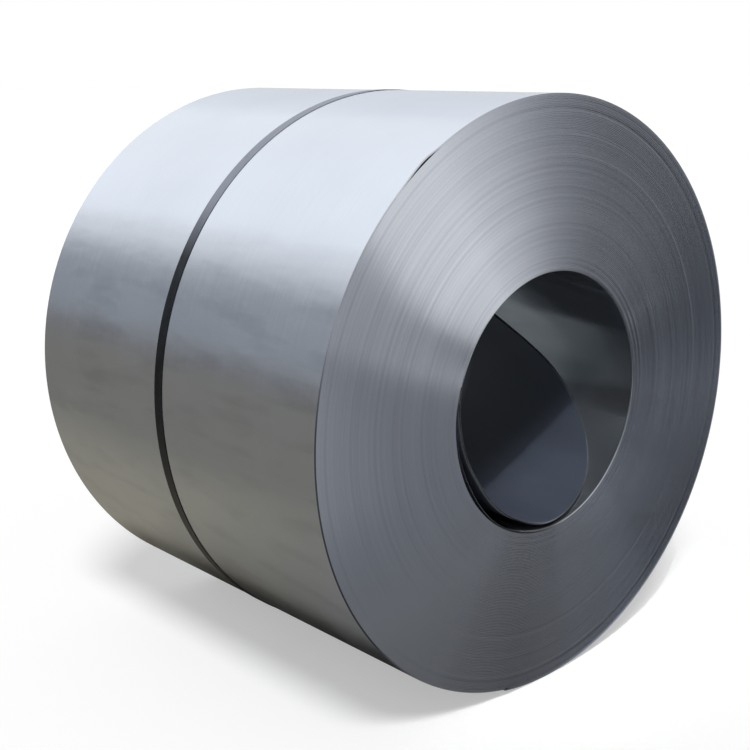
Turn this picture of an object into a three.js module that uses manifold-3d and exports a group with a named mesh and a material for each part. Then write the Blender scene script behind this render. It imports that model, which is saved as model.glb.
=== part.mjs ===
// A coil of steel strip lying on its side, held by one belly strap.
//
// Frame: millimetres, +Z up. The coil's axis runs along Y through (0, 0, AXIS_HEIGHT),
// and the floor is z = 0. The front end faces -Y. Angles about the axis are in degrees,
// from +X towards +Z, so 90 is the top and 270 the bottom.

import * as THREE from "three";
import { mergeVertices } from "three/addons/utils/BufferGeometryUtils.js";
import Module from "manifold-3d";

const wasm = await Module();
wasm.setup();

// ---- Driving dimensions ----

// The strip and how it is wound.
const STRIP_WIDTH = 914;
const STRIP_THICKNESS = 3;
const BORE_DIAMETER = 508;
const TURNS_IN_GROUP = [3, 3, 4, 5, 14, 21, 20, 15, 14, 6, 4]; // from the bore outwards
const TELESCOPE = 2; // how far one group of turns stands out past the next
const FACETS = 72; // flats around the coil, one of them straight down

// The inner end of the strip: its last lap has sprung off the wall of the eye.
const LAP_ROOT = 163; // where it leaves the wall
const LAP_TOUCH = 312; // where it comes back to the wall
const LAP_END = 391; // the blunt tip of its tongue
const LAP_STANDOFF = 25; // the widest gap behind it
const LAP_SKEW = 0.65; // under 1, the widest gap lies nearer to the root
const LAP_CLEARANCE = 1.5; // between its free end and the wall
const LAP_STEP = 4; // degrees in one flat of the lap
const TONGUE_START = 268; // where its side edges begin to draw in
const TONGUE_CURVE = 2.3; // over 1, they draw in slowly at first
const TONGUE_TIP = 15; // half the width that is left at the tip

// The belly strap and the seal that joins its ends.
const STRAP_WIDTH = 32;
const STRAP_THICKNESS = 1;
const STRAP_FROM_MIDDLE = 5; // towards the back
const STRAP_TAIL = 15; // each end's length past the seal
const STRAP_RAMP = 60; // the length in which the strap rises to the seal
const SEAL_ANGLE = 45;
const SEAL_LENGTH = 50;
const SEAL_SHEET = 1;
const SEAL_FLANGE = 12; // how far each edge is folded under the strap
const CLEARANCE = 0.3; // between pieces that touch

// ---- Derived sizes ----

const BORE_RADIUS = BORE_DIAMETER / 2;
const TURNS = TURNS_IN_GROUP.reduce((sum, turns) => sum + turns, 0);
const COIL_RADIUS = BORE_RADIUS + TURNS * STRIP_THICKNESS;
const AXIS_HEIGHT = COIL_RADIUS + CLEARANCE + STRAP_THICKNESS;
const FACET_ANGLE = 360 / FACETS;
const CORNER = 1 / Math.cos(rad(FACET_ANGLE / 2)); // corner radius of a flat at radius 1

// Levels above the axis in the seal, where everything is flat.
const SEAL_BASE = COIL_RADIUS * CORNER + CLEARANCE;
const STRAP_IN_SEAL = SEAL_BASE + SEAL_SHEET + CLEARANCE;
const STRAP_PITCH = STRAP_THICKNESS + CLEARANCE; // from one layer of strap to the next
const SEAL_HEIGHT = 2 * SEAL_SHEET + 2 * STRAP_PITCH + CLEARANCE;
const STRAP_LAP = deg((SEAL_LENGTH / 2 + STRAP_TAIL) / COIL_RADIUS);
const STRAP_RAMP_ANGLE = deg(STRAP_RAMP / COIL_RADIUS);

// ---- Materials ----

const galvanisedSteel = new THREE.MeshStandardMaterial({ color: 0x9ba1a8, roughness: 0.4, metalness: 1 });
const bluedSteel = new THREE.MeshStandardMaterial({ color: 0x2b3038, roughness: 0.45, metalness: 0.8 });
const zincedSteel = new THREE.MeshStandardMaterial({ color: 0x8d9298, roughness: 0.5, metalness: 1 });

// ---- Helpers ----

function rad(degrees) {
  return (degrees * Math.PI) / 180;
}

function deg(radians) {
  return (radians * 180) / Math.PI;
}

// A point of a section drawn across the axis: x to the side and y up.
function polar(radius, angle) {
  return new THREE.Vector2(radius * Math.cos(rad(angle)), radius * Math.sin(rad(angle)));
}

function smoothstep(from, to, value) {
  return THREE.MathUtils.smoothstep(value, from, to);
}

// Extrudes a section drawn across the axis, from y = 0 to y = -length.
function extrudeAlongAxis(points, length) {
  const shape = new THREE.Shape(points);
  const geometry = new THREE.ExtrudeGeometry(shape, { depth: length, bevelEnabled: false });
  return geometry.rotateX(Math.PI / 2);
}

function toManifold(geometry) {
  const bare = geometry.clone();
  bare.deleteAttribute("normal");
  bare.deleteAttribute("uv");
  const merged = mergeVertices(bare);
  const vertProperties = new Float32Array(merged.attributes.position.array);
  const triVerts = new Uint32Array(merged.index.array);
  return new wasm.Manifold(new wasm.Mesh({ numProp: 3, vertProperties, triVerts }));
}

function toGeometry(manifold) {
  const mesh = manifold.getMesh();
  const geometry = new THREE.BufferGeometry();
  geometry.setAttribute("position", new THREE.BufferAttribute(mesh.vertProperties, 3));
  geometry.setIndex(new THREE.BufferAttribute(mesh.triVerts, 1));
  geometry.computeVertexNormals();
  return geometry;
}

// ---- The wound turns ----

// One end's outline, from the bore outwards. The strip has one width all along, so a group
// of turns that stands out at one end lies back by as much at the other.
function endOutline(end) {
  const points = [];
  let radius = BORE_RADIUS;
  TURNS_IN_GROUP.forEach((turns, index) => {
    const shift = (index % 2 ? TELESCOPE : -TELESCOPE) / 2;
    const y = (end * STRIP_WIDTH) / 2 + shift;
    points.push(new THREE.Vector2(radius * CORNER, y));
    radius += turns * STRIP_THICKNESS;
    points.push(new THREE.Vector2(radius * CORNER, y));
  });
  return points;
}

function woundTurns() {
  const outline = [...endOutline(-1), ...endOutline(1).reverse()];
  outline.push(outline[0].clone());
  return toManifold(new THREE.LatheGeometry(outline, FACETS, rad(FACET_ANGLE / 2)));
}

// ---- The sprung inner lap ----

// How far the lap's outside lies from the wall's next turn at an angle. It starts inside
// the wall, as the wall's own last turn, and peels away without a step.
function lapRise(angle) {
  const along = THREE.MathUtils.clamp((angle - LAP_ROOT) / (LAP_TOUCH - LAP_ROOT), 0, 1);
  const spring = LAP_STANDOFF * Math.sin(Math.PI * along ** LAP_SKEW) ** 2;
  const peel = (STRIP_THICKNESS + LAP_CLEARANCE) * smoothstep(0, 0.25, along);
  return spring + peel;
}

// Half the lap's width at an angle: the strip's own, and then drawn in to the tongue's tip.
function lapHalfWidth(angle) {
  const along = THREE.MathUtils.clamp((angle - TONGUE_START) / (LAP_END - TONGUE_START), 0, 1);
  return THREE.MathUtils.lerp(STRIP_WIDTH / 2, TONGUE_TIP, along ** TONGUE_CURVE);
}

// The four corners of the lap's cross section at an angle, going round it.
function lapSection(angle) {
  const outer = BORE_RADIUS + STRIP_THICKNESS - lapRise(angle);
  const inner = outer - STRIP_THICKNESS;
  const half = lapHalfWidth(angle);
  const corners = [[outer, -half], [outer, half], [inner, half], [inner, -half]];
  return corners.map(([radius, y]) => {
    const { x, y: z } = polar(radius, angle);
    return new THREE.Vector3(x, y, z);
  });
}

// Joins four-cornered sections, one after the other, into a closed solid.
function loft(sections) {
  const faces = [[0, 2, 1], [0, 3, 2]];
  for (let i = 0; i < sections.length - 1; i += 1) {
    for (let k = 0; k < 4; k += 1) {
      const [a, b] = [4 * i + k, 4 * i + ((k + 1) % 4)];
      faces.push([a, b, b + 4], [a, b + 4, a + 4]);
    }
  }
  const last = 4 * (sections.length - 1);
  faces.push([last, last + 1, last + 2], [last, last + 2, last + 3]);
  const geometry = new THREE.BufferGeometry().setFromPoints(sections.flat());
  return geometry.setIndex(faces.flat());
}

function innerLap() {
  const flats = Math.ceil((LAP_END - LAP_ROOT) / LAP_STEP);
  const step = (LAP_END - LAP_ROOT) / flats;
  const sections = Array.from({ length: flats + 1 }, (_, i) => lapSection(LAP_ROOT + i * step));
  return toManifold(loft(sections));
}

function coil() {
  const mesh = new THREE.Mesh(toGeometry(woundTurns().add(innerLap())), galvanisedSteel);
  mesh.name = "coil";
  return mesh;
}

// ---- The belly strap ----

// The radius of the strap's underside: tight on the flats of the coil, and straight where
// it is lifted to pass through the seal.
function strapSeat(angle) {
  const fromSeal = THREE.MathUtils.euclideanModulo(angle - SEAL_ANGLE + 180, 360) - 180;
  const fromFlat = THREE.MathUtils.euclideanModulo(angle + FACET_ANGLE / 2, FACET_ANGLE) - FACET_ANGLE / 2;
  const onCoil = (COIL_RADIUS + CLEARANCE) / Math.cos(rad(fromFlat));
  const inSeal = STRAP_IN_SEAL / Math.cos(rad(Math.min(Math.abs(fromSeal), STRAP_LAP)));
  const lift = 1 - smoothstep(STRAP_LAP, STRAP_LAP + STRAP_RAMP_ANGLE, Math.abs(fromSeal));
  return THREE.MathUtils.lerp(onCoil, inSeal, lift);
}

// The angles at which the strap bends, in one pass from its lower end round to its upper.
function strapAngles() {
  const first = SEAL_ANGLE - STRAP_LAP;
  const last = SEAL_ANGLE + 360 + STRAP_LAP;
  const angles = [first, SEAL_ANGLE + STRAP_LAP, SEAL_ANGLE + 360 - STRAP_LAP, last];
  for (let corner = FACET_ANGLE / 2; corner < last; corner += FACET_ANGLE) {
    if (corner > first) angles.push(corner);
  }
  return angles.sort((a, b) => a - b);
}

function strapSection() {
  const under = [];
  const over = [];
  const upperFrom = SEAL_ANGLE + 360 - STRAP_LAP;
  for (const angle of strapAngles()) {
    const layer = STRAP_PITCH * smoothstep(upperFrom - STRAP_RAMP_ANGLE, upperFrom, angle);
    const radius = strapSeat(angle) + layer;
    under.push(polar(radius, angle));
    over.push(polar(radius + STRAP_THICKNESS, angle));
  }
  return [...over, ...under.reverse()];
}

function strap() {
  const band = extrudeAlongAxis(strapSection(), STRAP_WIDTH);
  const mesh = new THREE.Mesh(band, bluedSteel);
  mesh.name = "strap";
  mesh.position.y = STRAP_FROM_MIDDLE + STRAP_WIDTH / 2;
  return mesh;
}

// ---- The seal ----

// A sheet folded round both layers of strap, open underneath between its two flanges.
function sealSection() {
  const outer = STRAP_WIDTH / 2 + CLEARANCE + SEAL_SHEET;
  const inner = outer - SEAL_SHEET;
  const lip = outer - SEAL_FLANGE;
  const top = SEAL_HEIGHT;
  const half = [
    [lip, 0], [outer, 0], [outer, top], [-outer, top], [-outer, 0], [-lip, 0],
    [-lip, SEAL_SHEET], [-inner, SEAL_SHEET], [-inner, top - SEAL_SHEET],
    [inner, top - SEAL_SHEET], [inner, SEAL_SHEET], [lip, SEAL_SHEET],
  ];
  return half.map(([x, y]) => new THREE.Vector2(x, y));
}

function strapSeal() {
  const shape = new THREE.Shape(sealSection());
  const sleeve = new THREE.ExtrudeGeometry(shape, { depth: SEAL_LENGTH, bevelEnabled: false });
  const mesh = new THREE.Mesh(sleeve.translate(0, 0, -SEAL_LENGTH / 2), zincedSteel);
  mesh.name = "strap_seal";
  const up = polar(1, SEAL_ANGLE);
  const outwards = new THREE.Vector3(up.x, 0, up.y);
  const axial = new THREE.Vector3(0, 1, 0);
  const along = new THREE.Vector3().crossVectors(axial, outwards);
  mesh.quaternion.setFromRotationMatrix(new THREE.Matrix4().makeBasis(axial, outwards, along));
  mesh.position.copy(outwards).multiplyScalar(SEAL_BASE);
  mesh.position.y = STRAP_FROM_MIDDLE;
  return mesh;
}

// ---- The whole object ----

const steelCoil = new THREE.Group();
steelCoil.name = "steel_coil";
steelCoil.position.z = AXIS_HEIGHT;
steelCoil.add(coil(), strap(), strapSeal());

export default steelCoil;
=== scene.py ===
"""The looks of a coil of galvanised steel strip that lies on its side under one belly strap.

Metres, +Z up. The coil's axis runs along Y at height AXIS_Z, the front end faces -Y and the
floor is z = 0. Angles about the axis are in degrees from +X towards +Z. A place along the
strip is counted in turns, from 0 where its inner lap leaves the wall of the eye.
"""

import math

import bpy
import numpy as np
from mathutils import Matrix, Vector


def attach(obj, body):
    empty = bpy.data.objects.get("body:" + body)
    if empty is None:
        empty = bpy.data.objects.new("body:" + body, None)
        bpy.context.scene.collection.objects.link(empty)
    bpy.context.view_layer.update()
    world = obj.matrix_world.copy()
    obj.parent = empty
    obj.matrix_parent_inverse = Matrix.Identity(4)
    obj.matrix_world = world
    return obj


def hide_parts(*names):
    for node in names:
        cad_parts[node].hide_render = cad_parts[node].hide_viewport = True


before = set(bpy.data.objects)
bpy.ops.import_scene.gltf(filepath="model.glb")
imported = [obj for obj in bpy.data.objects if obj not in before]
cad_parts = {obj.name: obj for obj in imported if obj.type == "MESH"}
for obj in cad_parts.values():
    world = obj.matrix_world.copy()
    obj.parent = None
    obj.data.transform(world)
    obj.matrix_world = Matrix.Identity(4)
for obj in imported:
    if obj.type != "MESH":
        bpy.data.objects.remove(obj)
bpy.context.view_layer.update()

# ---- Sizes, as in the part's source ----

STRIP_WIDTH = 0.914
STRIP_THICKNESS = 0.003
BORE_RADIUS = 0.254
COIL_RADIUS = 0.581
AXIS_Z = 0.5823
LAP_ROOT = 163.0  # where the loose inner lap leaves the wall
LAP_END = 391.0  # the tip of its tongue
STRAP_THICKNESS = 0.001
STRAP_TAIL = 0.015  # each end's length past the seal
SEAL_ANGLE = 45.0
SEAL_LENGTH = 0.050
SEAL_SHEET = 0.001
CLEARANCE = 0.0003  # between pieces that touch

# The strap is narrower than the one in the source, whose back edge it shares.
STRAP_WIDTH = 0.025
STRAP_Y = 0.0085

# ---- How the strip is wound ----

TAIL_ANGLE = 258.0  # where its outer end lies, pinned near the floor
WHOLE_TURNS = 108  # the tail stops short of the last of them
TAIL_TURN = WHOLE_TURNS - (TAIL_ANGLE - LAP_ROOT) / 360
WALL = COIL_RADIUS - BORE_RADIUS
PITCH = WALL / (TAIL_TURN + 1)
GAP = 0.0001  # air that shows between two turns
SHEET = STRIP_THICKNESS - GAP
STEPS = 150  # points in one turn of the ends

# A slit edge, from the burr on its inner side to the rounded outer side: how far across
# the thickness, and how far below the edge's highest line.
SLIT_EDGE = ((-0.5, 0.00003), (-0.45, 0.0), (0.0, 0.00045), (0.5, 0.00095))
TUCKED = (0.3, 0.0, 0.0, 0.0, 1.0, 1.0)  # how far each corner lies in the crack between turns
RIM_EDGE = ((-0.5, 0.0013), (-0.28, 0.0005), (0.05, 0.0), (0.5, 0.0007))  # the eye's worn rim


def angle_of(turn):
    return LAP_ROOT - 360 * turn


def radius_of(turn):
    """The middle of the strip's thickness."""
    return BORE_RADIUS + PITCH * (turn + 0.5)


# ---- Small tools ----

MATH, MIX, RANGE, MAPPING = "ShaderNodeMath", "ShaderNodeMix", "ShaderNodeMapRange", "ShaderNodeMapping"
SPLIT, JOIN, PLACE = "ShaderNodeSeparateXYZ", "ShaderNodeCombineXYZ", "ShaderNodeTexCoord"
COLOURS = {"give": 2, "data_type": "RGBA"}  # for a Mix node that mixes colours
NOISE_SPAN = (0.3, 0.7)  # the values between which noise mostly keeps


def srgb(code):
    """A colour written as an sRGB hex value, in linear light."""
    parts = [int(code[i : i + 2], 16) / 255 for i in (1, 3, 5)]
    linear = [p / 12.92 if p <= 0.04045 else ((p + 0.055) / 1.055) ** 2.4 for p in parts]
    return (*linear, 1.0)


def add(tree, kind, inputs=(), give=0, **settings):
    """Adds a node, with its settings and what goes into its sockets: values or links, in the
    sockets' order or by name. Returns its first output, or the one to give."""
    node = tree.nodes.new(kind)
    for name, value in settings.items():
        setattr(node, name, value)
    for key, value in inputs.items() if isinstance(inputs, dict) else enumerate(inputs):
        if isinstance(value, bpy.types.NodeSocket):
            tree.links.new(value, node.inputs[key])
        else:
            node.inputs[key].default_value = value
    return None if give is None else node.outputs[give]


def set_stops(ramp, stops):
    """Gives a colour ramp its stops, each a place from 0 to 1 and a colour."""
    elements = ramp.node.color_ramp.elements
    for number, (at, colour) in enumerate(stops):
        stop = elements[number] if number < 2 else elements.new(at)
        stop.position, stop.color = at, colour


def new_object(name, points, faces, turns=None):
    """A closed mesh whose faces point outwards."""
    mesh = bpy.data.meshes.new(name)
    mesh.from_pydata(np.asarray(points).tolist(), [], faces)
    if turns is not None:
        stored = mesh.attributes.new("turn", "FLOAT", "POINT")
        stored.data.foreach_set("value", np.asarray(turns, np.float32))
    return finish_mesh(name, mesh)


def finish_mesh(name, mesh, sharp=40.0):
    """Turns the faces of a closed mesh outwards if they point in, and smooths it."""
    mesh.validate()
    count = len(mesh.vertices)
    points = np.empty(count * 3)
    mesh.vertices.foreach_get("co", points)
    points = points.reshape(-1, 3)
    mesh.calc_loop_triangles()
    corners = np.empty(len(mesh.loop_triangles) * 3, np.int32)
    mesh.loop_triangles.foreach_get("vertices", corners)
    a, b, c = (points[corners.reshape(-1, 3)[:, i]] for i in range(3))
    if np.einsum("ij,ij->i", a, np.cross(b, c)).sum() < 0:
        mesh.flip_normals()
    mesh.shade_smooth()
    mesh.set_sharp_from_angle(angle=math.radians(sharp))
    made = bpy.data.objects.new(name, mesh)
    bpy.context.scene.collection.objects.link(made)
    return made


def tube_faces(rows, loop):
    """The faces between closed loops of points, one loop after the other."""
    return [
        (i * loop + k, i * loop + (k + 1) % loop, (i + 1) * loop + (k + 1) % loop, (i + 1) * loop + k)
        for i in range(rows - 1)
        for k in range(loop)
    ]


def around(angle, radius, y):
    """Points at an angle and radius about the coil's axis."""
    a = np.radians(angle)
    return np.stack([radius * np.cos(a), y + 0 * a, AXIS_Z + radius * np.sin(a)], axis=-1)


def sheet(name, turns, columns, radius, half_width, thickness=SHEET, edge=SLIT_EDGE, y=0.0):
    """A length of strip with its slit edges, along the winding. The columns run from -1 to 1
    across it, and radius(turns, y) is the middle of its thickness."""
    turns = np.asarray(turns)[:, None]
    half = np.broadcast_to(half_width(turns), turns.shape)
    (inner_at, inner_low), *crown, (outer_at, outer_low) = edge
    outer = np.asarray(columns)[None, :] * half
    inner = outer.copy()
    outer[:, [0, -1]] += [outer_low, -outer_low]
    inner[:, [0, -1]] += [inner_low, -inner_low]
    far = np.hstack([half - low for _, low in crown[::-1]])
    near = np.hstack([low - half for _, low in crown])
    across = np.hstack([outer, far, inner[:, ::-1], near]) + y
    width, rounded = len(columns), [at for at, _ in crown]
    offset = np.r_[np.full(width, outer_at), rounded[::-1], np.full(width, inner_at), rounded]
    around_axis = radius(turns, across) + offset * thickness
    points = around(angle_of(turns), around_axis, across)
    rows, loop = across.shape
    faces = tube_faces(rows, loop)
    turn_back = width + len(crown)
    slit = [k % turn_back >= width - 1 for _ in range(rows - 1) for k in range(loop)]
    for start, flip in ((0, 1), ((rows - 1) * loop, -1)):
        cap = [(j, j + 1, width + turn_back - j - 2, width + turn_back - j - 1) for j in range(width - 1)]
        cap += [tuple(range(width - 1, turn_back + 1)), (*range(width + turn_back - 1, loop), 0)]
        faces += [tuple(start + k for k in face[::-flip]) for face in cap]
        slit += [True] * len(cap)
    made = new_object(name, points.reshape(-1, 3), faces, np.repeat(turns, loop))
    made.data.polygons.foreach_set("material_index", np.array(slit, np.int32))
    return made


# ---- The wound turns that show on the ends ----

# How far each group of turns lies back (+) from or stands out (-) past the front end's
# middle plane, as a share of the most that it may, by its distance from the axis in
# millimetres.
TELESCOPE = (
    (254, -0.3), (258, 0.4), (261, -0.6), (266, 0.4), (272, -0.5), (278, 0.5), (284, -0.5),
    (291, 0.3), (299, -0.3), (320, -0.1), (341, -0.5), (343, 0.2), (372, 0.0), (404, -0.2),
    (406, 0.3), (440, 0.1), (463, -0.2), (465, -0.8), (470, -0.8), (472, 0.2), (490, 0.0),
    (506, -0.3), (508, 0.9), (511, -0.2), (514, 0.8), (517, -0.3), (535, -0.1), (548, -0.4),
    (550, 1.0), (555, 1.0), (557, -0.4), (567, -0.2), (569, 0.8), (571, -0.3), (581, 0.0),
)  # fmt: skip
# The tree's named inputs. Telescope is the most that a group strays, and Wander the most
# that one turn strays within it. Depth is how far the swept edges reach into the coil.
WINDING_SIZES = (
    ("Bore Radius", BORE_RADIUS), ("Wall", WALL), ("Pitch", PITCH), ("Thickness", SHEET),
    ("First Turn", 1.0), ("Last Turn", TAIL_TURN - 1), ("Steps in a Turn", float(STEPS)),
    ("Root Angle", math.radians(LAP_ROOT)), ("End Plane", STRIP_WIDTH / 2), ("End", -1.0),
    ("Depth", 0.005), ("Telescope", 0.0007), ("Wander", 0.00015), ("Drifts in a Turn", 0.45),
    ("Seed", 3.0), ("Axis Height", AXIS_Z),
)  # fmt: skip


def winding_tree():
    """Geometry Nodes for the turns' edges at one end: a slit edge swept along the spiral."""
    tree = bpy.data.node_groups.new("wound_turns", "GeometryNodeTree")
    tree.interface.new_socket("Geometry", in_out="OUTPUT", socket_type="NodeSocketGeometry")
    for name, value in WINDING_SIZES:
        socket = tree.interface.new_socket(name, in_out="INPUT", socket_type="NodeSocketFloat")
        socket.default_value = value
    tree.interface.new_socket("Material", in_out="INPUT", socket_type="NodeSocketMaterial")
    given = add(tree, "NodeGroupInput").node.outputs

    # The strip's place at each point of the sweep.
    index = add(tree, "GeometryNodeInputIndex")
    wound = add(tree, MATH, (index, given["Steps in a Turn"]), operation="DIVIDE")
    turn = add(tree, MATH, (given["First Turn"], wound), operation="ADD")
    span = add(tree, MATH, (given["Last Turn"], given["First Turn"]), operation="SUBTRACT")
    count = add(tree, MATH, (span, given["Steps in a Turn"]), operation="MULTIPLY")
    swung = add(tree, MATH, (turn, 2 * math.pi), operation="MULTIPLY")
    angle = add(tree, MATH, (given["Root Angle"], swung), operation="SUBTRACT")
    middle = add(tree, MATH, (turn, 0.5), operation="ADD")
    out = add(tree, MATH, (given["Pitch"], middle), operation="MULTIPLY")
    radius = add(tree, MATH, (given["Bore Radius"], out), operation="ADD")

    share = add(tree, MATH, (out, given["Wall"]), operation="DIVIDE")
    groups = add(tree, "ShaderNodeFloatCurve", {"Value": share})
    mapping = groups.node.mapping
    curve = mapping.curves[0]
    places = [((r / 1000 - BORE_RADIUS) / WALL, 0.5 + shift / 2) for r, shift in TELESCOPE]
    curve.points[0].location, curve.points[-1].location = places[0], places[-1]
    for place in places[1:-1]:
        curve.points.new(*place)
    for point in curve.points:
        point.handle_type = "VECTOR"
    mapping.update()
    # A slow drift along the strip's length, so each turn strays from its neighbours.
    along = add(tree, MATH, (turn, given["Drifts in a Turn"]), operation="MULTIPLY")
    along = add(tree, MATH, (along, given["Seed"]), operation="ADD")
    slow = {"W": along, "Scale": 1.0, "Detail": 2.0}
    drift = add(tree, "ShaderNodeTexNoise", slow, noise_dimensions="1D")
    strays = []
    for stray, most in ((groups, given["Telescope"]), (drift, given["Wander"])):
        centred = add(tree, MATH, (stray, 0.5), operation="SUBTRACT")
        doubled = add(tree, MATH, (most, 2.0), operation="MULTIPLY")
        strays.append(add(tree, MATH, (centred, doubled), operation="MULTIPLY"))
    shift = add(tree, MATH, strays, operation="ADD")
    least = add(tree, MATH, (given["Telescope"], -1.0), operation="MULTIPLY")
    shift = add(tree, MATH, (shift, least), operation="MAXIMUM")
    shift = add(tree, MATH, (shift, given["Telescope"]), operation="MINIMUM")
    plane = add(tree, MATH, (given["End"], given["End Plane"]), operation="MULTIPLY")
    plane = add(tree, MATH, (plane, shift), operation="ADD")

    # The spiral is laid flat, so that its sections stand up straight, and turned at the end.
    x = add(tree, MATH, (radius, add(tree, MATH, (angle,), operation="COSINE")), operation="MULTIPLY")
    y = add(tree, MATH, (radius, add(tree, MATH, (angle,), operation="SINE")), operation="MULTIPLY")
    z = add(tree, MATH, (plane, -1.0), operation="MULTIPLY")
    place = add(tree, JOIN, (x, y, z))
    line = add(tree, "GeometryNodeCurvePrimitiveLine")
    count = add(tree, MATH, (count, 1.0), operation="ADD")
    points = add(tree, "GeometryNodeResampleCurve", {"Curve": line, "Count": count})
    spiral = add(tree, "GeometryNodeSetPosition", {"Geometry": points, "Position": place})
    spiral = add(tree, "GeometryNodeSetCurveNormal", {"Curve": spiral}, mode="Z_UP")
    stored = {"Geometry": spiral, "Name": "turn", "Value": turn}
    spiral = add(tree, "GeometryNodeStoreNamedAttribute", stored, data_type="FLOAT", domain="POINT")

    # The section: the slit edge's four corners, and two more where it ends in the coil.
    corners = [*SLIT_EDGE, (0.5, None), (-0.5, None)]
    section = add(tree, "GeometryNodeMeshLine", {"Count": len(corners)}, mode="OFFSET")
    pick = add(tree, "GeometryNodeIndexSwitch", {"Index": index}, data_type="VECTOR")
    tuck = add(tree, "GeometryNodeIndexSwitch", {"Index": index}, data_type="FLOAT")
    for switch in (pick.node, tuck.node):
        while len(switch.index_switch_items) < len(corners):
            switch.index_switch_items.new()
    for number, value in enumerate(TUCKED):
        tuck.node.inputs[number + 1].default_value = value
    for number, (across, below) in enumerate(corners):
        depth = given["Depth"] if below is None else below
        side = add(tree, MATH, (given["Thickness"], -across), operation="MULTIPLY")
        down = add(tree, MATH, (depth, -1.0), operation="MULTIPLY")
        down = add(tree, MATH, (given["End"], down), operation="MULTIPLY")
        tree.links.new(add(tree, JOIN, (side, down)), pick.node.inputs[number + 1])
    section = add(tree, "GeometryNodeSetPosition", {"Geometry": section, "Position": pick.node.outputs[0]})
    stored = {"Geometry": section, "Name": "tuck", "Value": tuck.node.outputs[0]}
    section = add(tree, "GeometryNodeStoreNamedAttribute", stored, data_type="FLOAT", domain="POINT")
    section = add(tree, "GeometryNodeMeshToCurve", {"Mesh": section})
    section = add(tree, "GeometryNodeSetSplineCyclic", {0: section, "Cyclic": True})
    sweep = {"Curve": spiral, "Profile Curve": section, "Fill Caps": True}
    swept = add(tree, "GeometryNodeCurveToMesh", sweep)
    raised = add(tree, JOIN, {"Z": given["Axis Height"]})
    stood = {"Geometry": swept, "Translation": raised, "Rotation": (math.pi / 2, 0, 0)}
    turned = add(tree, "GeometryNodeTransform", stood)
    real = add(tree, "GeometryNodeRealizeInstances", (turned,))
    made = add(tree, "GeometryNodeSetMaterial", {"Geometry": real, "Material": given["Material"]})
    add(tree, "NodeGroupOutput", {"Geometry": made}, give=None)
    return tree


def wound_end(name, tree, end, material):
    """The turns' edges at one end, -1 for the front and 1 for the back, as a plain mesh."""
    base = bpy.data.objects.new(name + "_nodes", bpy.data.meshes.new(name + "_nodes"))
    bpy.context.scene.collection.objects.link(base)
    modifier = base.modifiers.new("turns", "NODES")
    modifier.node_group = tree
    values = {"End": end, "Material": material}
    for item in tree.interface.items_tree:
        if item.name in values and item.in_out == "INPUT":
            modifier[item.identifier] = values[item.name]
    evaluated = base.evaluated_get(bpy.context.evaluated_depsgraph_get())
    mesh = bpy.data.meshes.new_from_object(evaluated)
    mesh.name = name
    bpy.data.objects.remove(base)
    return finish_mesh(name, mesh, sharp=15.0)


# ---- The strip's inner and outer laps ----

# The gap behind the loose inner lap, and how far its tongue's edges draw in from the strip's:
# at an angle, in millimetres.
LAP_GAP = (
    (163, 0.1), (172, 4), (180, 9.5), (190, 14.5), (200, 20), (207, 24.5), (216, 25.5), (227, 24),
    (240, 21.8), (249, 19.3), (260, 14), (271, 8.7), (283, 5), (296, 2.5), (312, 1.2), (330, 0.5), (398, 0.4),
)  # fmt: skip
TONGUE = (
    (268, 0), (284, 9), (300, 24), (315, 50), (330, 90), (342, 138), (351, 180), (360, 228),
    (369, 298), (379, 376), (386, 424), (391, 442),
)  # fmt: skip
# The gap behind the second lap, where that has left the wall too: at an angle, in millimetres.
SECOND_LAP = ((163, 0), (175, 0.3), (190, 2), (200, 5), (210, 6), (222, 4), (232, 1), (240, 0))
SHARP_ROOT = 12.0  # degrees over which the loose lap's root passes from sharp to rounded
# Such lines are rounded off over a few degrees, in fine steps between two angles.
ROUND_FROM, ROUND_TO, FINE_STEP, ROUND_OVER, ROUND_STEPS = 140.0, 420.0, 0.5, 3.5, 16
# Where the last lap's front edge is lifted: by how much, at what angle, over how many degrees
# on either side, and how far back from the edge.
LIFT, LIFT_ANGLE, LIFT_SPREAD, LIFT_REACH = 0.0036, 125.0, (2.6, 4.2), 0.040
# Columns of points across a lap, closest near its edges, and rows of them along it.
WIDE = (-1, -0.99, -0.975, -0.95, -0.9, -0.7, -0.4, 0, 0.4, 0.7, 0.9, 0.95, 0.975, 0.99, 1)
INNER_ROWS, OUTER_ROWS = 400, 361
# The core's ends lie below the edges that show, and its sides just clear the laps beside it:
# so far from the middle of each, as a share of the sheet. Its corners are some degrees apart.
CORE_BELOW, CORE_FROM_LAP, CORE_STEP = 0.006, 0.6, 3.0


def rounded_off(places, angle, kept=0.0):
    """A line through measured places, in metres, its corners rounded over a few degrees. The
    first kept degrees after the root pass from sharp to rounded."""
    fine = np.arange(ROUND_FROM, ROUND_TO, FINE_STEP)
    line = np.interp(fine, *zip(*places))
    steps = np.arange(-ROUND_STEPS, ROUND_STEPS + 1)
    window = np.exp(-((steps * FINE_STEP / ROUND_OVER) ** 2))
    padded = np.pad(line, ROUND_STEPS, mode="edge")
    smooth = np.convolve(padded, window / window.sum(), mode="valid")
    share = np.clip((fine - LAP_ROOT) / kept, 0, 1) if kept else 1
    return np.interp(angle, fine, smooth * share + line * (1 - share)) / 1000


def inner_radius(turns, y):
    """On the wall up to the root of the loose lap, and from there off it by the lap's gap.
    The lap behind it has sprung off the wall a little too."""
    angle = angle_of(turns)
    loose = radius_of(turns + 1) - SHEET - rounded_off(LAP_GAP, angle, SHARP_ROOT)
    second = radius_of(turns) - rounded_off(SECOND_LAP, angle % 360) * (turns > 0)
    return np.where(turns < 0, loose, second) + 0 * y


def inner_half_width(turns):
    return STRIP_WIDTH / 2 - rounded_off(TONGUE, angle_of(turns))


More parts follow.
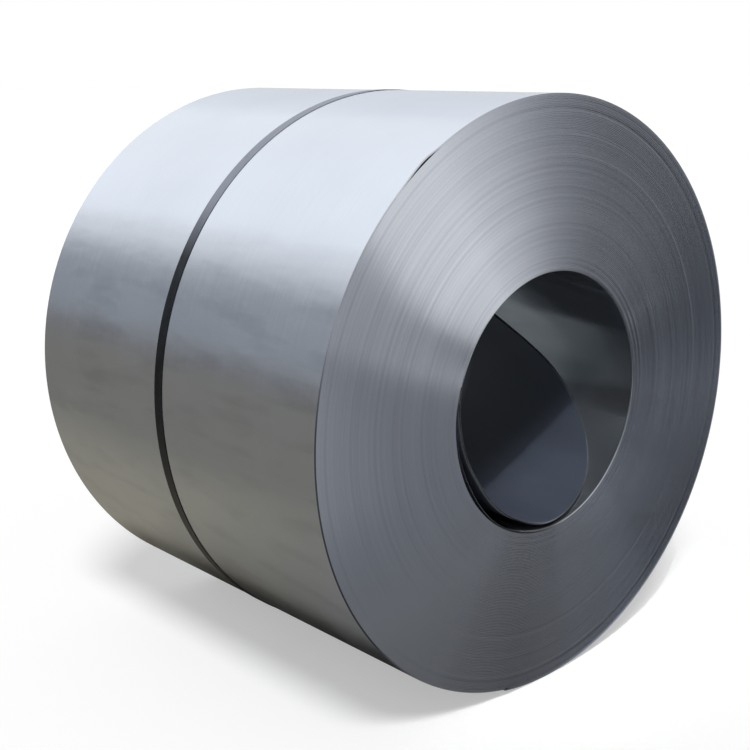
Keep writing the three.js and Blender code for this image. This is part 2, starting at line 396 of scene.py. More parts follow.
def outer_radius(turns, y):
    """The last lap, whose front edge is lifted a little in one place."""
    angle = angle_of(turns) % 360
    spread = np.where(angle < LIFT_ANGLE, *LIFT_SPREAD)
    place = np.exp(-(((angle - LIFT_ANGLE) / spread) ** 2))
    near = np.clip(1 - (y + STRIP_WIDTH / 2) / LIFT_REACH, 0, 1) ** 2
    return radius_of(turns) + LIFT * place * near


def inner_laps():
    turns = np.linspace((LAP_ROOT - LAP_END) / 360, 1.0, INNER_ROWS)
    return sheet("coil_inner_laps", turns, WIDE, inner_radius, inner_half_width, edge=RIM_EDGE)


def outer_lap():
    turns = np.linspace(TAIL_TURN - 1, TAIL_TURN, OUTER_ROWS)
    return sheet("coil_outer_lap", turns, WIDE, outer_radius, lambda t: STRIP_WIDTH / 2 + 0 * t)


def core():
    """The turns between the inner and outer laps, below the edges that show."""
    low = radius_of(1) + SHEET * CORE_FROM_LAP
    high = radius_of(TAIL_TURN - 1) - SHEET * CORE_FROM_LAP
    end = STRIP_WIDTH / 2 - CORE_BELOW
    ring = np.array([(low, -end), (high, -end), (high, end), (low, end)])
    angles = np.arange(0, 360, CORE_STEP)
    points = np.concatenate([around(np.full(4, a), ring[:, 0], ring[:, 1]) for a in angles])
    faces = [tuple(k % len(points) for k in face) for face in tube_faces(len(angles) + 1, 4)]
    return new_object("coil_core", points, faces)


# ---- The strap ----

SEAL_BASE = COIL_RADIUS + 0.0009  # the seal's underside
STRAP_IN_SEAL = SEAL_BASE + SEAL_SHEET + CLEARANCE
STRAP_PITCH = STRAP_THICKNESS + CLEARANCE  # from one layer of strap to the next
STRAP_LAP = math.degrees((SEAL_LENGTH / 2 + STRAP_TAIL) / COIL_RADIUS)
STRAP_RAMP = 6.0  # degrees in which its upper end rises to the seal
STRAP_OFF_COIL = 0.0001
STRAP_STEP = 0.75  # degrees from one row of points to the next
STRAP_EDGE = ((-0.5, 0.0003), (0.0, 0.0), (0.5, 0.0003))  # rounded, and given as a slit edge is
PULLS = 3000  # rounds of pulling it tight: enough for the widest hollow
# How far the strap strays towards the back: at an angle, in millimetres.
STRAP_ASIDE = (
    (0, 0), (178, 0), (186, 1), (194, 3.5), (202, 7), (210, 10), (220, 12), (250, 12), (300, 6),
    (340, 0), (420, 0),
)  # fmt: skip


def pulled_tight(angles, radii):
    """The radius at each angle of a band pulled tight round an outline: it crosses each
    hollow in a straight line, so no point lies inside the line between its neighbours."""
    nearness = 1 / radii
    step = math.cos(math.radians(angles[1] - angles[0]))
    for _ in range(PULLS):
        between = (np.roll(nearness, 1) + np.roll(nearness, -1)) / (2 * step)
        nearness = np.minimum(nearness, between)
    return 1 / nearness


def strap():
    """One length of strap round the coil, its upper end over its lower in the seal."""
    fine = np.arange(0.0, 360.0, FINE_STEP)
    last = TAIL_TURN - ((fine - TAIL_ANGLE) % 360) / 360
    from_seal = fine - SEAL_ANGLE
    in_seal = STRAP_IN_SEAL / np.cos(np.radians(from_seal))
    seat = np.where(np.abs(from_seal) <= STRAP_LAP, in_seal, radius_of(last) + SHEET / 2)
    tight = pulled_tight(fine, seat + STRAP_OFF_COIL)
    angles = np.arange(SEAL_ANGLE - STRAP_LAP, SEAL_ANGLE + 360 + STRAP_LAP, STRAP_STEP)

    def radius(turns, y):
        angle = angle_of(turns)
        rise = np.clip((angle - (SEAL_ANGLE + 360 - STRAP_RAMP - STRAP_LAP)) / STRAP_RAMP, 0, 1)
        layer = STRAP_PITCH * rise * rise * (3 - 2 * rise)
        return np.interp(angle % 360, fine, tight, period=360) + STRAP_THICKNESS / 2 + layer + 0 * y

    turns = (LAP_ROOT - angles) / 360
    y = STRAP_Y + np.interp(angles, *zip(*STRAP_ASIDE))[:, None] / 1000
    return sheet(
        "strap_band", turns, (-1, 0, 1), radius, lambda t: STRAP_WIDTH / 2 + 0 * t,
        STRAP_THICKNESS, STRAP_EDGE, y,
    )  # fmt: skip


# ---- The seal ----

# The line through the middle of its sheet: how far out its sides lie, how high its top, how
# far out its flanges end under the strap, and the radius of its bends.
SEAL_HALF, SEAL_TOP, SEAL_LIP, SEAL_BEND = STRAP_WIDTH / 2 + 0.0008, 0.0044, 0.0042, 0.0012
BEND_POINTS, BEND_STEP = 7, 15  # points in a bend, and the degrees between them
SEAL_ROWS = 61
# Where it is crimped along its length, over what length, how deep, and from how far out.
CRIMPS, CRIMP_LENGTH, CRIMP_DEPTH, CRIMP_FROM = (-0.010, 0.010), 0.0022, 0.0020, 0.008


def seal_section():
    """The folded sheet's outline: round both layers of strap, with a flange under each edge."""
    low = SEAL_SHEET / 2
    folds = (
        (SEAL_HALF, low, 90), (SEAL_HALF, SEAL_TOP, 180), (-SEAL_HALF, SEAL_TOP, 270), (-SEAL_HALF, low, 360),
    )  # fmt: skip
    path = [(SEAL_LIP, low)]
    for x, y, turn in folds:
        centre_x = x - math.copysign(SEAL_BEND, x)
        centre_y = y + (SEAL_BEND if y == low else -SEAL_BEND)
        for step in range(BEND_POINTS):
            a = math.radians(turn - 180 + BEND_STEP * step)
            path.append((centre_x + SEAL_BEND * math.cos(a), centre_y + SEAL_BEND * math.sin(a)))
    path = np.array([*path, (-SEAL_LIP, low)])
    along = np.gradient(path, axis=0)
    along /= np.linalg.norm(along, axis=1)[:, None]
    side = np.stack([along[:, 1], -along[:, 0]], axis=1) * low
    return np.vstack([path + side, (path - side)[::-1]])


def seal():
    """A sheet folded round both layers of strap, with two crimps in each side."""
    section = seal_section()
    stations = np.linspace(-SEAL_LENGTH / 2, SEAL_LENGTH / 2, SEAL_ROWS)
    out = np.array([math.cos(math.radians(SEAL_ANGLE)), 0, math.sin(math.radians(SEAL_ANGLE))])
    tangent = np.array([-out[2], 0, out[0]])
    far_out = np.clip((np.abs(section[:, 0]) - CRIMP_FROM) / (SEAL_HALF - CRIMP_FROM), 0, 1)
    points = []
    for s in stations:
        pinch = sum(math.exp(-(((s - c) / CRIMP_LENGTH) ** 2)) for c in CRIMPS)
        x = section[:, 0] - np.sign(section[:, 0]) * far_out * CRIMP_DEPTH * pinch
        height = out * (SEAL_BASE + section[:, 1])[:, None]
        points.append(height + tangent * s + np.outer(x + STRAP_Y, (0, 1, 0)))
    points = np.concatenate(points) + np.array([0, 0, AXIS_Z])
    n, m = len(section), len(stations)
    faces = tube_faces(m, n)
    cap = [(j, j + 1, n - j - 2, n - j - 1) for j in range(n // 2 - 1)]
    for start, flip in ((0, 1), ((m - 1) * n, -1)):
        faces += [tuple(start + k for k in face[::-flip]) for face in cap]
    return new_object("strap_seal_folded", points, faces)


# ---- Materials ----

# Each pattern's scale, in cycles a metre along the strip, across it and out from the axis.
ROLL_MARKS = (1.5, 220, 0)  # 0.7 m long and 5 mm apart: the real ones are too fine to show
ZINC_CLOUDS = (4, 3, 2)  # 250 to 500 mm
ROLL_SMEARS = (2.2, 7, 0)  # 450 by 140 mm
SMUDGES = (22, 6, 0)  # 45 by 170 mm
SHEET_WAVES = (14, 5, 0)  # 70 by 200 mm, under a millimetre high
EYE_CLOUDS = (7, 5, 2)  # 140 to 500 mm
EDGE_RINGS = (0, 0, 150)  # 7 mm, about two turns
EDGE_BANDS = (0, 0, 23)  # 43 mm, a group of turns
SLIT_MARKS = (1.5, 0, 130)  # 0.7 m along two or three turns
STRAP_LINES = (6, 900, 0)  # 170 mm long and 1 mm apart
STRAP_WEAR = (25, 60, 0)  # 40 by 17 mm
SEAL_BLOOM = (120, 120, 120)  # 8 mm
FLOOR_PATCHES = (1.1, 0.35, 0)  # 0.9 by 3 m


def round_the_coil(tree):
    """The coil's own coordinates, in metres: along the strip, across it and out from the
    axis. Their seam lies at 300 degrees, under the coil."""
    place = add(tree, PLACE, give="Object")
    centred = add(tree, MAPPING, {"Vector": place, "Location": (0, 0, -AXIS_Z)})
    turned = add(tree, MAPPING, {"Vector": centred, "Rotation": (0, math.radians(120), 0)})
    x, y, z = add(tree, SPLIT, (turned,)).node.outputs
    angle = add(tree, MATH, (z, x), operation="ARCTAN2")
    along = add(tree, MATH, (angle, COIL_RADIUS), operation="MULTIPLY")
    out = add(tree, "ShaderNodeVectorMath", (add(tree, JOIN, (x, z)),), "Value", operation="LENGTH")
    return add(tree, JOIN, (along, y, out))


def grain(tree, place, scale, detail):
    """Noise stretched to its own scale in each direction."""
    stretched = add(tree, MAPPING, {"Vector": place, "Scale": scale})
    return add(tree, "ShaderNodeTexNoise", {"Vector": stretched, "Scale": 1.0, "Detail": detail})


def merged(tree, first, share, second):
    """Two patterns in one: a share of the first, and the rest from the second."""
    parts = [add(tree, MATH, (first, share), operation="MULTIPLY")]
    parts.append(add(tree, MATH, (second, 1 - share), operation="MULTIPLY"))
    return add(tree, MATH, parts, operation="ADD")


def mottled(tree, noise, dark, light):
    """A colour that wanders between two sRGB values as a noise does."""
    share = add(tree, RANGE, (noise, *NOISE_SPAN))
    return add(tree, MIX, {0: share, 6: srgb(dark), 7: srgb(light)}, **COLOURS)


def metal(name, **sockets):
    """A new metal; its constant finish goes straight onto the shader's sockets."""
    made = bpy.data.materials.new(name)
    made.use_nodes = True
    shader = made.node_tree.nodes["Principled BSDF"]
    shader.inputs["Metallic"].default_value = 1.0
    for socket, value in sockets.items():
        shader.inputs[socket.replace("_", " ")].default_value = value
    return made, made.node_tree, shader.inputs


def along_strip(tree, places):
    """A value that changes along the strip: at each number of turns, how much."""
    first, last = places[0][0], places[-1][0]
    turn = add(tree, "ShaderNodeAttribute", give="Fac", attribute_name="turn")
    ramp = add(tree, "ShaderNodeValToRGB", (add(tree, RANGE, (turn, first, last)),))
    set_stops(ramp, [((at - first) / (last - first), (value, value, value, 1.0)) for at, value in places])
    return ramp


# The dark film on the innermost laps' faces, partly oily and partly painted shade of the eye's
# inside: how thick it is, by the number of turns, and between which places along the axis it
# thins out towards the back. On one stretch of the loose lap it ends that much nearer to the front.
FACE_FILM_AND_SHADE = ((-0.02, 1.0), (0.0, 0.0), (0.70, 0.0), (0.76, 1.0), (1.0, 1.0))
FILM_CUT_BACK = ((-0.37, 0.0), (-0.33, 1.0), (-0.13, 1.0), (-0.09, 0.0))
FILM_ENDS, FILM_CUT_BY = (0.0, 0.14), 0.2
# Bare zinc is nearly all metal and sharp in what it mirrors. The film hides most of the metal
# and softens what it mirrors.
BARE_METAL, HIDDEN_METAL, BARE_ROUGH, FILM_ROUGH = 0.95, 0.87, 0.13, 0.20


def eye_strip():
    """The strip's innermost laps: galvanised strip again, dulled by the mandrel. A dark film covers
    the front half of the loose lap, and of a quarter of the lap behind it, in the shade of the
    gap: partly an oily film and partly painted shade, it mirrors less than zinc, and mostly
    without a metal's colour."""
    made, tree, sockets = metal("oiled_and_shaded_galvanised_strip", Specular_IOR_Level=0.4)
    place = round_the_coil(tree)
    clouds = grain(tree, place, EYE_CLOUDS, 2.0)
    cut_back = add(tree, MATH, (along_strip(tree, FILM_CUT_BACK), FILM_CUT_BY), operation="MULTIPLY")
    deep = add(tree, MATH, (add(tree, SPLIT, (place,), 1), cut_back), operation="ADD")
    front = add(tree, RANGE, (deep, *FILM_ENDS, 1.0, 0.0))
    # The dark film: partly oily, and partly painted shade of the eye's inside and of the gap.
    film_and_shade = add(tree, MATH, (along_strip(tree, FACE_FILM_AND_SHADE), front), operation="MULTIPLY")
    bare = mottled(tree, clouds, "#B9BDC2", "#C8CCD1")
    film = mottled(tree, clouds, "#3C414D", "#424854")
    tree.links.new(add(tree, MIX, {0: film_and_shade, 6: bare, 7: film}, **COLOURS), sockets["Base Color"])
    hidden = add(tree, MATH, (film_and_shade, HIDDEN_METAL), operation="MULTIPLY")
    tree.links.new(add(tree, MATH, (BARE_METAL, hidden), operation="SUBTRACT"), sockets["Metallic"])
    softened = add(tree, MATH, (film_and_shade, FILM_ROUGH), operation="MULTIPLY")
    tree.links.new(add(tree, MATH, (BARE_ROUGH, softened), operation="ADD"), sockets["Roughness"])
    return made


HANDLED = (0.95, 0.80)  # the heights between which smudges set in, from above


def galvanised_strip():
    """Hot-dip galvanised strip, skin-passed: bright, faintly clouded, with fine marks that
    the rolls drew along its length. Below its top it is smudged from handling."""
    made, tree, sockets = metal("galvanised_strip")
    place = round_the_coil(tree)
    lines = grain(tree, place, ROLL_MARKS, 3.0)
    clouds = grain(tree, place, ZINC_CLOUDS, 4.0)
    smears = grain(tree, place, ROLL_SMEARS, 2.0)
    plain_zinc = mottled(tree, merged(tree, clouds, 0.7, lines), "#D8E0EC", "#E2EAF6")
    height = add(tree, SPLIT, (add(tree, PLACE, give="Object"),), 2)
    handled = add(tree, RANGE, (height, *HANDLED))
    smudges = add(tree, RANGE, (grain(tree, place, SMUDGES, 3.0), *NOISE_SPAN, -0.5, 0.5))
    smudges = add(tree, MATH, (handled, smudges), operation="MULTIPLY")
    smudged = add(tree, MIX, {0: smudges, 6: plain_zinc, 7: srgb("#C4CAD6")}, **COLOURS)
    tree.links.new(smudged, sockets["Base Color"])
    smeared = add(tree, RANGE, (smears, *NOISE_SPAN, 0.15, 0.23))
    scored = add(tree, RANGE, (lines, *NOISE_SPAN, -0.02, 0.03))
    tree.links.new(add(tree, MATH, (smeared, scored), operation="ADD"), sockets["Roughness"])
    waves = grain(tree, place, SHEET_WAVES, 2.0)
    wavy = add(tree, "ShaderNodeBump", {"Height": waves, "Strength": 1.0, "Distance": 0.0008})
    fine = {"Height": lines, "Strength": 0.15, "Distance": 0.0001, "Normal": wavy}
    tree.links.new(add(tree, "ShaderNodeBump", fine), sockets["Normal"])
    return made


# How dark the strip's edge is, by the number of turns along it: oily, and partly painted shade,
# on the laps in the eye, and a painted shadow line along the last lap's edge at the left.
EDGE_OIL_AND_SHADE = (
    (-0.64, 0.0), (-0.289, 0.0), (-0.272, 0.6), (-0.256, 0.87), (-0.24, 1.0), (-0.156, 1.0),
    (-0.139, 0.88), (-0.106, 0.88), (-0.09, 0.97), (0.0, 0.97), (0.03, 0.0), (0.24, 0.0),
    (0.3, 0.5), (0.44, 0.5), (0.5, 0.2), (0.68, 0.2), (0.74, 0.97), (0.97, 0.97), (1.0, 0.0),
)  # fmt: skip
OUTER_EDGE_SHADOW = ((106.8, 0.0), (106.85, 0.8), (106.97, 0.8), (107.02, 0.0))
# Painted shade low on the ends: the heights between which it sets in, the places across the
# coil between which the steel is painted darker towards the middle, and those between which that
# and the painted shade in the cracks change over at the middle. Right is +X.
LOW_DOWN, LOW_SHADE_ACROSS, CHANGES = (0.48, 0.26), (-0.35, -0.10), (-0.05, 0.05)
LOW_SHADE_MOST, LOW_SHADE_LESS_RIGHT = 0.45, 0.37  # the most painted shade low down, and how much less at the right
LOW_CRACK_SHADE_LOST, RIGHT_CRACK_SHADE_GAIN = 1.0, 1.9  # painted shade that low cracks lose, and how much more at the right
FADED_RINGS = 0.8  # how far the rings of unlike turns fade low down


def slit_edges():
    """The strip's sheared edges: duller than its faces, in rings of turns that are not quite
    alike. The cracks between turns are dark, partly oily and partly painted shade, and so are
    parts of the loose lap. Low down they are painted darker just left of the middle, and the
    cracks' painted shade is most at the right and none at the left."""
    made, tree, sockets = metal("slit_edge_steel", Metallic=0.965)
    place = round_the_coil(tree)
    marks = grain(tree, place, SLIT_MARKS, 1.0)
    aside, _, height = add(tree, SPLIT, (add(tree, PLACE, give="Object"),)).node.outputs
    low = add(tree, RANGE, (height, *LOW_DOWN))
    shaded_aside = add(tree, RANGE, (aside, *LOW_SHADE_ACROSS))
    right = add(tree, RANGE, (aside, *CHANGES))

    tone = merged(tree, grain(tree, place, EDGE_RINGS, 1.0), 0.6, grain(tree, place, EDGE_BANDS, 2.0))
    faded = add(tree, MATH, (low, FADED_RINGS), operation="MULTIPLY")
    strength = add(tree, MATH, (1.0, faded), operation="SUBTRACT")
    tone = add(tree, MATH, (tone, 0.5), operation="SUBTRACT")
    tone = add(tree, MATH, (tone, strength), operation="MULTIPLY")
    tone = add(tree, MATH, (tone, 0.5), operation="ADD")
    sheared = mottled(tree, tone, "#B8BCC4", "#D2D6DE")

    # Painted shade: darker low on the end, just left of the middle.
    low_shade = add(tree, MATH, (shaded_aside, LOW_SHADE_MOST), operation="MULTIPLY")
    less_shade_right = add(tree, MATH, (right, LOW_SHADE_LESS_RIGHT), operation="MULTIPLY")
    low_shade = add(tree, MATH, (low_shade, less_shade_right), operation="SUBTRACT")
    low_shade = add(tree, MATH, (low_shade, low), operation="MULTIPLY")
    sheared = add(tree, MIX, {0: low_shade, 6: sheared, 7: srgb("#8E9298")}, **COLOURS)

    # The cracks' painted shade: gone low at the left, and more low at the right.
    crack_shade_scale = add(tree, MATH, (right, RIGHT_CRACK_SHADE_GAIN), operation="MULTIPLY")
    crack_shade_scale = add(tree, MATH, (crack_shade_scale, LOW_CRACK_SHADE_LOST), operation="SUBTRACT")
    crack_shade_scale = add(tree, MATH, (low, crack_shade_scale), operation="MULTIPLY")
    crack_shade_scale = add(tree, MATH, (crack_shade_scale, 1.0), operation="ADD")
    # The cracks between turns are darkened: partly oily, partly painted shade.
    tuck = add(tree, "ShaderNodeAttribute", give="Fac", attribute_name="tuck")
    crack_oil_and_shade = add(tree, MATH, (tuck, crack_shade_scale), operation="MULTIPLY")
    crack_oil_and_shade = add(tree, MATH, (crack_oil_and_shade, 1.0), operation="MINIMUM")
    # Oily and painted shade on the edges in the eye, and a painted shadow line on the last lap's edge.
    oil_and_shadows = [along_strip(tree, places) for places in (EDGE_OIL_AND_SHADE, OUTER_EDGE_SHADOW)]
    edge_oil_and_shadow = add(tree, MATH, oil_and_shadows, operation="MAXIMUM")
    oil_and_painted_shade = add(tree, MATH, (crack_oil_and_shade, edge_oil_and_shadow), operation="MAXIMUM")
    colour = add(tree, MIX, {0: oil_and_painted_shade, 6: sheared, 7: srgb("#26282C")}, **COLOURS)
    tree.links.new(colour, sockets["Base Color"])
    tree.links.new(add(tree, RANGE, (marks, *NOISE_SPAN, 0.14, 0.18)), sockets["Roughness"])
    return made


TOP_SHEEN_HEIGHTS = (0.865, 0.97)  # the heights between which the top's painted sheen sets in, from below


def blued_strap():
    """Steel strapping, blued and coated with wax: a thin dark oxide over metal, with a satin shine.
    Its top is painted paler, a painted sheen of the light from above."""
    made, tree, sockets = metal("blued_strapping")
    place = round_the_coil(tree)
    lines = grain(tree, place, STRAP_LINES, 2.0)
    wear = grain(tree, place, STRAP_WEAR, 4.0)
    tone = merged(tree, wear, 0.6, lines)
    height = add(tree, SPLIT, (add(tree, PLACE, give="Object"),), 2)
    # A painted sheen: the top is painted paler.
    sheen_share = add(tree, RANGE, (height, *TOP_SHEEN_HEIGHTS))
    blued = mottled(tree, tone, "#2C3035", "#40454C")
    sheened = mottled(tree, tone, "#7C8290", "#969CAA")
    colour = add(tree, MIX, {0: sheen_share, 6: blued, 7: sheened}, **COLOURS)
    tree.links.new(colour, sockets["Base Color"])
    tree.links.new(add(tree, RANGE, (wear, *NOISE_SPAN, 0.24, 0.36)), sockets["Roughness"])
    return made


def zinced_seal():
    """Zinc-coated sheet, folded and crimped: dull, with grey bloom."""
    made, tree, sockets = metal("zinced_sheet")
    bloom = grain(tree, add(tree, PLACE, give="Object"), SEAL_BLOOM, 4.0)
    tree.links.new(mottled(tree, bloom, "#A9AFB5", "#C6CBD0"), sockets["Base Color"])
    tree.links.new(add(tree, RANGE, (bloom, *NOISE_SPAN, 0.34, 0.5)), sockets["Roughness"])
    return made


# ---- The coil ----

strip_finish, eye_finish, edge_finish = galvanised_strip(), eye_strip(), slit_edges()
tree = winding_tree()
front = wound_end("coil_front_turns", tree, -1.0, edge_finish)
back = wound_end("coil_back_turns", tree, 1.0, edge_finish)
bpy.data.node_groups.remove(tree)
inner, outer, middle = inner_laps(), outer_lap(), core()
lap_finishes = ((inner, (eye_finish, edge_finish)), (outer, (strip_finish, edge_finish)))
for piece, finishes in (*lap_finishes, (middle, (edge_finish,))):
    for finish in finishes:
        piece.data.materials.append(finish)
band, folded = strap(), seal()
band.data.materials.append(blued_strap())
band.data.polygons.foreach_set("material_index", np.zeros(len(band.data.polygons), np.int32))
folded.data.materials.append(zinced_seal())
for piece in (front, back, inner, outer, middle):
    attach(piece, "root")
    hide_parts("coil")
for piece, node, slot in ((band, "strap", "strap_steel"), (folded, "strap_seal", "seal_steel")):
    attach(piece, "root")
    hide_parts(node)

# ---- The studio ----

WHITE = (1.0, 1.0, 1.0, 1.0)
# The dome's level on matt surfaces, and that of a large soft lamp that shines on the front and
# into the eye from above: together they light the floor at about 1.
DOME_LEVEL, KEY_LEVEL = 0.37, 0.70
KEY_DIRECTION, KEY_WIDTH, KEY_AWAY = (-0.86, -1.0, 2.02), 15.0, 3
# A narrow lamp beside the key, into the eye: its level, distance, width in degrees and the
# radius and softness of its pool of light.
EYE_LEVEL, EYE_LAMP_AWAY, EYE_LAMP_WIDTH, EYE_POOL, EYE_POOL_SOFT = 1.75, 12.0, 2.0, 0.22, 0.1
FLOOR_GREY, FLOOR_GLOW, FLOOR_REACH = "#D0D0D0", 0.41, 80.0


def shown_rays(tree):
    """1 for the rays that show the background: straight, mirrored or seen through."""
    rays = add(tree, "ShaderNodeLightPath").node.outputs
    seen = add(tree, MATH, (rays["Is Camera Ray"], rays["Is Glossy Ray"]), operation="MAXIMUM")
    return add(tree, MATH, (seen, rays["Is Transmission Ray"]), operation="MAXIMUM")


def stage_finish(name):
    """A new material for the stage, with nothing on its surface yet."""
    made = bpy.data.materials.new(name)
    made.use_nodes = True
    nodes = made.node_tree.nodes
    nodes.remove(nodes["Principled BSDF"])
    return made, made.node_tree, nodes["Material Output"].inputs["Surface"]


def pale_floor():
    """A matt grey that adds its own light to the rays that show it, so that it looks white."""
    made, tree, surface = stage_finish("pale_floor")
    grey = add(tree, "ShaderNodeBsdfDiffuse", {"Color": srgb(FLOOR_GREY)})
    glow = add(tree, MATH, (shown_rays(tree), FLOOR_GLOW), operation="MULTIPLY")
    light = add(tree, "ShaderNodeEmission", {"Color": WHITE, "Strength": glow})
    tree.links.new(add(tree, "ShaderNodeAddShader", (grey, light)), surface)
    return made


def stage_piece(name, points, faces, material):
    mesh = bpy.data.meshes.new(name)
    mesh.from_pydata(points, [], faces)
    mesh.materials.append(material)
    made = bpy.data.objects.new(name, mesh)
    bpy.context.scene.collection.objects.link(made)
    return made


def only_in_reflections(piece):
    piece.visible_camera = piece.visible_diffuse = piece.visible_shadow = False


square = [(x * FLOOR_REACH, y * FLOOR_REACH, 0) for x, y in ((-1, -1), (1, -1), (1, 1), (-1, 1))]
floor = stage_piece("floor", square, [(0, 1, 2, 3)], pale_floor())
floor.visible_glossy = False


def painted_cloth(name, stops, start, reach, axis=2):
    """A backcloth that glows with its paint in bands along one axis: each a share of its reach, and a colour.
    """
    made, tree, surface = stage_finish(name)
    place = add(tree, SPLIT, (add(tree, PLACE, give="Object"),), axis)
    ramp = add(tree, "ShaderNodeValToRGB", (add(tree, RANGE, (place, start, start + reach)),))
    set_stops(ramp, [(at, srgb(colour)) for at, colour in stops])
    tree.links.new(add(tree, "ShaderNodeEmission", {"Color": ramp, "Strength": 1.0}), surface)
    return made


# The floor sheets' greys under the coil, from its front to its back, by their place along the
# axis; then those further to the sides, in front of the coil, and in patches at the left.
MAT_GREYS = ((-1.0, "#7C7E83"), (-0.5, "#7E7E7D"), (-0.1, "#838079"), (0.6, "#979181"))
SIDE_GREY, FRONT_GREY, PATCH_BROWN = "#7D7A72", "#B6B8BC", "#928A80"
# Where one passes into the next, in metres from the coil's middle.
TO_THE_SIDE, FRONT_ASIDE, TO_THE_FRONT = (0.75, 1.15), (0.25, 1.0), (-0.9, -1.5)
PATCHES_AT, PATCHES_MOST = (-0.5, -0.9), 0.25
# The coil's shade on the sheets: how light it is, and where it ends on each side.
SHADE = 0.72
SHADE_LEFT, SHADE_RIGHT = (-0.34, -0.60), (0.20, 0.90)
SHADE_FRONT, SHADE_BACK = (-0.45, -0.70), (0.45, 0.60)


def graded_mat(name):
    """Grey sheets laid on the floor, darkest in the coil's shade: cool under its front and warm
    under its back, paler in front of it at either side, with faint brown patches at the left."""
    made, tree, surface = stage_finish(name)
    spread = add(tree, PLACE, give="Object")
    x, y, _ = add(tree, SPLIT, (spread,)).node.outputs
    aside = add(tree, MATH, (x,), operation="ABSOLUTE")
    first, last = MAT_GREYS[0][0], MAT_GREYS[-1][0]
    laid = add(tree, "ShaderNodeValToRGB", (add(tree, RANGE, (y, first, last)),))
    set_stops(laid, [((at - first) / (last - first), srgb(colour)) for at, colour in MAT_GREYS])
    away = add(tree, RANGE, (aside, *TO_THE_SIDE))
    laid = add(tree, MIX, {0: away, 6: laid, 7: srgb(SIDE_GREY)}, **COLOURS)
    beside = add(tree, RANGE, (aside, *FRONT_ASIDE))
    ahead = add(tree, RANGE, (y, *TO_THE_FRONT))
    in_front = add(tree, MATH, (beside, ahead), operation="MULTIPLY")
    laid = add(tree, MIX, {0: in_front, 6: laid, 7: srgb(FRONT_GREY)}, **COLOURS)
    patches = add(tree, RANGE, (grain(tree, spread, FLOOR_PATCHES, 3.0), *NOISE_SPAN))
    at_left = add(tree, RANGE, (x, *PATCHES_AT, 0.0, PATCHES_MOST))
    patches = add(tree, MATH, (patches, at_left), operation="MULTIPLY")
    laid = add(tree, MIX, {0: patches, 6: laid, 7: srgb(PATCH_BROWN)}, **COLOURS)
    ends = [
        add(tree, MATH, [add(tree, RANGE, (along, *edge)) for edge in edges], operation="MAXIMUM")
        for along, edges in ((x, (SHADE_LEFT, SHADE_RIGHT)), (y, (SHADE_FRONT, SHADE_BACK)))
    ]
    shade = add(tree, RANGE, {0: add(tree, MATH, ends, operation="MAXIMUM"), "To Min": SHADE})
    shade = add(tree, JOIN, (shade, shade, shade))
    colour = add(tree, "ShaderNodeVectorMath", (laid, shade), operation="MULTIPLY")
    tree.links.new(add(tree, "ShaderNodeBsdfDiffuse", {"Color": colour}), surface)
    return made


CLOTH_AWAY, CLOTH_REACH, MAT_REACH = 12.0, 60.0, 50.0
# Each backcloth: where it starts and ends on the floor, its height, and its paint from below.
# The right one stands beside the coil and is painted along its foot, from its front end.
BACKCLOTHS = {
    "left": (
        (-CLOTH_AWAY, -CLOTH_REACH), (-CLOTH_AWAY, CLOTH_REACH), 20.0,
        ((0.0, "#787574"), (0.05, "#7C7978"), (0.12, "#929496"), (0.37, "#9A9C9F"), (0.465, "#A4A5A7"),
         (0.575, "#CCCCCC"), (0.72, "#E2E2E2"), (1.0, "#F4F4F4")),
    ),
    "front": ((-CLOTH_AWAY, -30.0), (CLOTH_AWAY, -30.0), 3.8, ((0.0, "#66686C"), (1.0, "#808286"))),
    "front_left": ((-CLOTH_AWAY, -29.9), (5.0, -29.9), 21.0, ((0.0, "#A8AAAE"), (1.0, "#B4B6BA"))),
    "right_front": (
        (CLOTH_AWAY, -CLOTH_REACH), (CLOTH_AWAY, -24.0), 6.8, ((0.0, "#7A7878"), (1.0, "#8E8F93")),
    ),
    "right_back": (
        (CLOTH_AWAY, 1.0), (CLOTH_AWAY, CLOTH_REACH), 15.0,
        ((0.0, "#DADCE0"), (0.4, "#E2E4E8"), (1.0, "#F3F4F6")),
    ),
    "right": (
        (CLOTH_AWAY, -24.0), (CLOTH_AWAY, 1.0), 16.0,
        ((0.0, "#F6F6F7"), (0.3, "#DADADC"), (0.46, "#BCBDC1"), (0.58, "#98999D"), (0.68, "#86878B"),
         (1.0, "#7A7878")), 1,
    ),
}  # fmt: skip
# A blank in each mouth of the eye, which only mirrored rays meet: it glows with its paint,
# lighter at the left and darker at the right, a painted reflection for the eye's walls. Its paint
# across the coil, from where and how far, and its place just inside the wall and the end.
BLANK_GREYS = ((0.0, "#A9ABA8"), (0.35, "#A4A6A4"), (0.56, "#8A8E8D"), (0.77, "#5A6064"), (1.0, "#33383C"))
BLANK_FROM, BLANK_REACH, BLANK_RADIUS, BLANK_Y = -0.25, 0.48, 0.2535, 0.452
ROUND = 64  # corners of a round stage piece
MAT_LIES = 0.0002  # how high the floor sheets lie


def backcloth(name, start, end, height, stops, axis=2):
    """A cloth painted upwards, or along its foot."""
    points = [(*start, 0), (*end, 0), (*end, height), (*start, height)]
    first, last = points[0][axis], points[2][axis]
    paint = painted_cloth(name + "_paint", stops, first, last - first, axis)
    return stage_piece(name, points, [(0, 1, 2, 3)], paint)


corners = np.linspace(0, 2 * math.pi, ROUND + 1)[:-1]
unseen = [backcloth(name + "_backcloth", *given) for name, given in BACKCLOTHS.items()]
mat_points = [(MAT_REACH * math.cos(a), MAT_REACH * math.sin(a), MAT_LIES) for a in corners]
unseen.append(stage_piece("floor_sheets", mat_points, [tuple(range(ROUND))], graded_mat("floor_sheet_grey")))
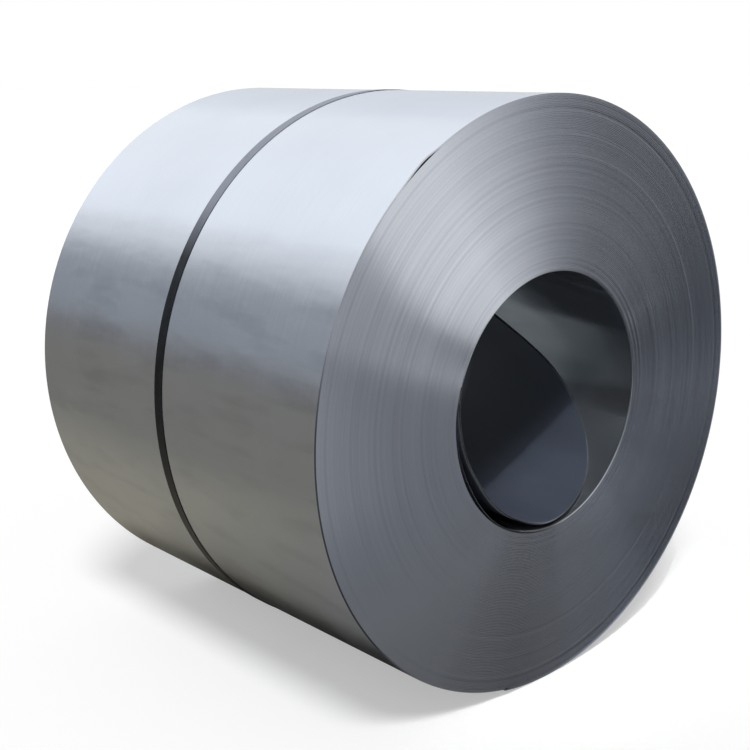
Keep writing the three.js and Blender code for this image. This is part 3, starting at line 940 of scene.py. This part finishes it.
# The blanks' glowing paint: a painted reflection for the eye's walls.
blank_reflection_paint = painted_cloth("eye_blank_reflection_paint", BLANK_GREYS, BLANK_FROM, BLANK_REACH, axis=0)
for y in (-BLANK_Y, BLANK_Y):
    points = [(BLANK_RADIUS * math.cos(a), y, AXIS_Z + BLANK_RADIUS * math.sin(a)) for a in corners]
    unseen.append(stage_piece("eye_blank", points, [tuple(range(ROUND))], blank_reflection_paint))
for piece in unseen:
    only_in_reflections(piece)

world = bpy.data.worlds.new("studio")
bpy.context.scene.world = world
world.use_nodes = True
level = add(world.node_tree, MATH, (shown_rays(world.node_tree), DOME_LEVEL), operation="MAXIMUM")
dome = world.node_tree.nodes["Background"].inputs
dome["Color"].default_value = WHITE
world.node_tree.links.new(level, dome["Strength"])


def lamp(name, kind, place):
    """A lamp that shines back along the key's direction, and that nothing mirrors."""
    made = bpy.data.objects.new(name, bpy.data.lights.new(name, kind))
    bpy.context.scene.collection.objects.link(made)
    made.location = place
    made.rotation_euler = Vector(KEY_DIRECTION).to_track_quat("Z", "Y").to_euler()
    made.visible_glossy = False
    return made.data


key = lamp("key_light", "SUN", Vector(KEY_DIRECTION) * KEY_AWAY)
key.angle = math.radians(KEY_WIDTH)
key.energy = KEY_LEVEL * math.pi

eye_mouth = Vector((0.0, -STRIP_WIDTH / 2, AXIS_Z))
eye_lamp = lamp("eye_lamp", "SPOT", eye_mouth + Vector(KEY_DIRECTION).normalized() * EYE_LAMP_AWAY)
eye_lamp.energy = EYE_LEVEL * 4 * math.pi**2 * EYE_LAMP_AWAY**2
eye_lamp.shadow_soft_size = EYE_LAMP_AWAY * math.tan(math.radians(EYE_LAMP_WIDTH))
eye_lamp.spot_size = 2 * math.atan(EYE_POOL / EYE_LAMP_AWAY)
eye_lamp.spot_blend = EYE_POOL_SOFT

# ---- The camera ----

# Its place, the directions that it looks in, and the shift of its frame.
CAMERA_PLACE = (-1.721, -1.929, 1.2003)
LOOKING_AHEAD, LOOKING_RIGHT = (0.6771, 0.6887, -0.2593), (0.7131, -0.7011, 0.0)
SENSOR_WIDTH, FOCAL_LENGTH = 36.0, 58.32  # millimetres
SHIFT_X, SHIFT_Y = -0.1003, 0.0289

camera = bpy.data.objects.new("camera", bpy.data.cameras.new("camera"))
bpy.context.scene.collection.objects.link(camera)
ahead = np.array(LOOKING_AHEAD) / np.linalg.norm(LOOKING_AHEAD)
right = np.array(LOOKING_RIGHT) / np.linalg.norm(LOOKING_RIGHT)
looking = Matrix([*zip(right, np.cross(right, ahead), -ahead)])
camera.matrix_world = Matrix.Translation(CAMERA_PLACE) @ looking.to_4x4()
camera.data.sensor_width = SENSOR_WIDTH
camera.data.lens = FOCAL_LENGTH
camera.data.shift_x, camera.data.shift_y = SHIFT_X, SHIFT_Y
camera.data.clip_start, camera.data.clip_end = 0.05, 200.0
bpy.context.scene.camera = camera
bpy.context.scene.view_settings.view_transform = "Standard"
